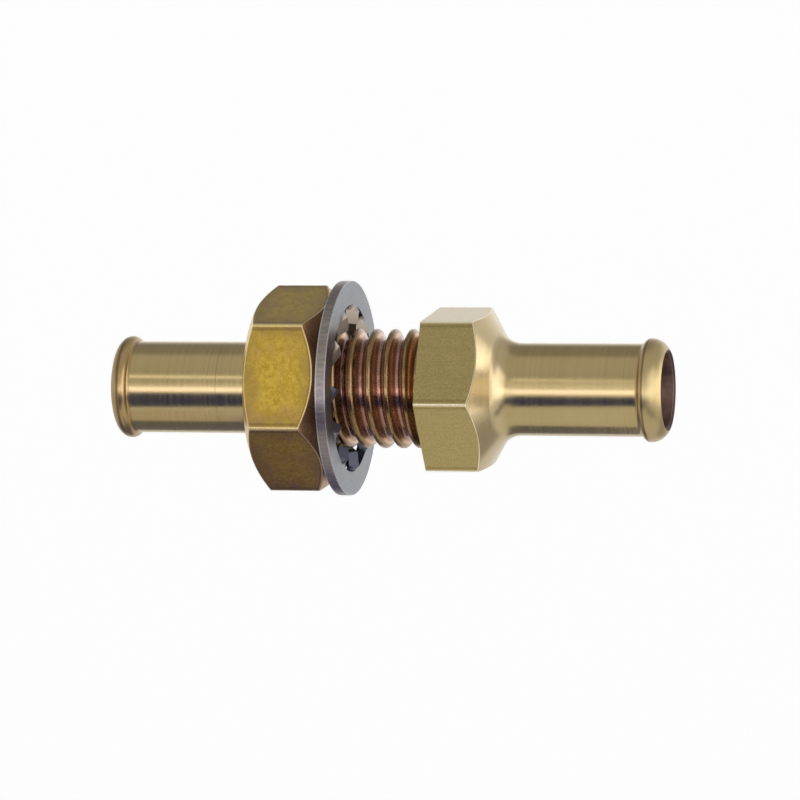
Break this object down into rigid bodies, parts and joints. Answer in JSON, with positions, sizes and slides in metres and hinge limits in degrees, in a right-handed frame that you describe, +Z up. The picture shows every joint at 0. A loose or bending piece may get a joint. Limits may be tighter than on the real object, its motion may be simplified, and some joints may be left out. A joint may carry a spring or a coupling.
{
  "type": "straight pipe fitting",
  "caption": "Straight brass bulkhead hose connector: beaded hose tails on a hexagon body with a male thread, held in a panel by a lock nut and a tooth lock washer.",
  "frame": {"origin": "on the bore axis, in the plane of the hexagon's flat panel shoulder", "axes": "+X along the bore towards the hexagon's hose tail, +Z up, square to two hexagon flats"},
  "size_m": [0.0592, 0.0228, 0.0226],
  "materials": {
    "body_brass": "satin turned brass, hexagon flats finely drawn",
    "nut_brass": "satin yellow brass",
    "washer_steel": "dull grey zinc plating"
  },
  "bodies": {
    "body": {"fitting_body": "body_brass"},
    "washer": {"tooth_lock_washer": "washer_steel"},
    "nut": {"lock_nut": "nut_brass"}
  },
  "joints": [
    {"name": "washer_slide", "type": "slide", "parent": "body", "child": "washer", "axis": [1, 0, 0], "range_m": [-0.00627, 0.00832]},
    {"name": "nut_turn", "type": "hinge", "parent": "washer", "child": "nut", "pos_m": [0, 0, 0], "axis": [1, 0, 0], "range_deg": [-1156, 1533]}
  ],
  "couplings": [
    {"joint": "nut_turn", "follows": "washer_slide", "rad_per_m": 3215.8}
  ]
}
